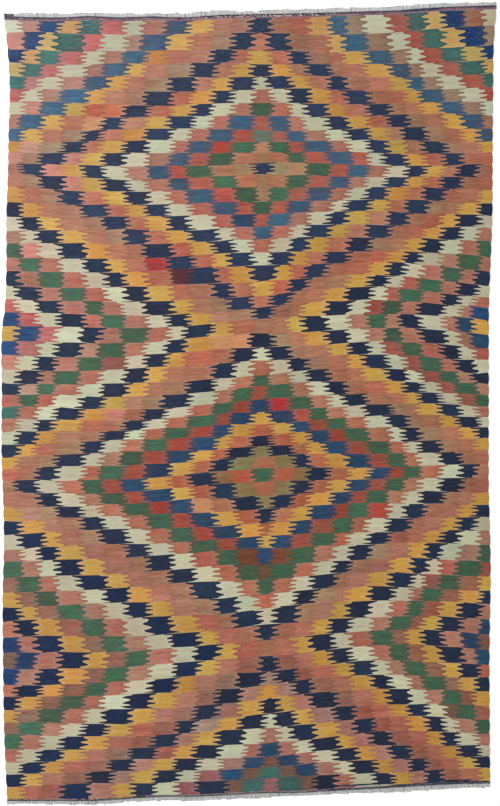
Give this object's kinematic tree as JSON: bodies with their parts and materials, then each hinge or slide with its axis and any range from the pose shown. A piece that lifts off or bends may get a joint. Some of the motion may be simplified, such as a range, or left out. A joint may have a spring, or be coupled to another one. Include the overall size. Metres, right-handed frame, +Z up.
{
  "type": "kilim rug",
  "caption": "Flat-woven wool rug with stepped diamonds in many colours, twined ends and short cut cotton warp ends, lying flat.",
  "frame": {"origin": "under the middle of the rug's bounding box, on the surface that it lies on", "axes": "+Z up through the rug's face, +Y along its warps towards the end with the wider line of twining, +X across it"},
  "size_m": [1.5854, 2.5746, 0.0036],
  "materials": {
    "field_wool": "matt flat-woven wool in many colours",
    "twining_yarn": "matt twined wool yarn, navy and mauve",
    "warp_cotton": "matt undyed cotton yarn ends"
  },
  "bodies": {
    "root": {"woven_field": "field_wool", "twined_edge_top": "twining_yarn", "twined_edge_bottom": "twining_yarn", "warp_fringe_top": "warp_cotton", "warp_fringe_bottom": "warp_cotton"}
  },
  "joints": []
}
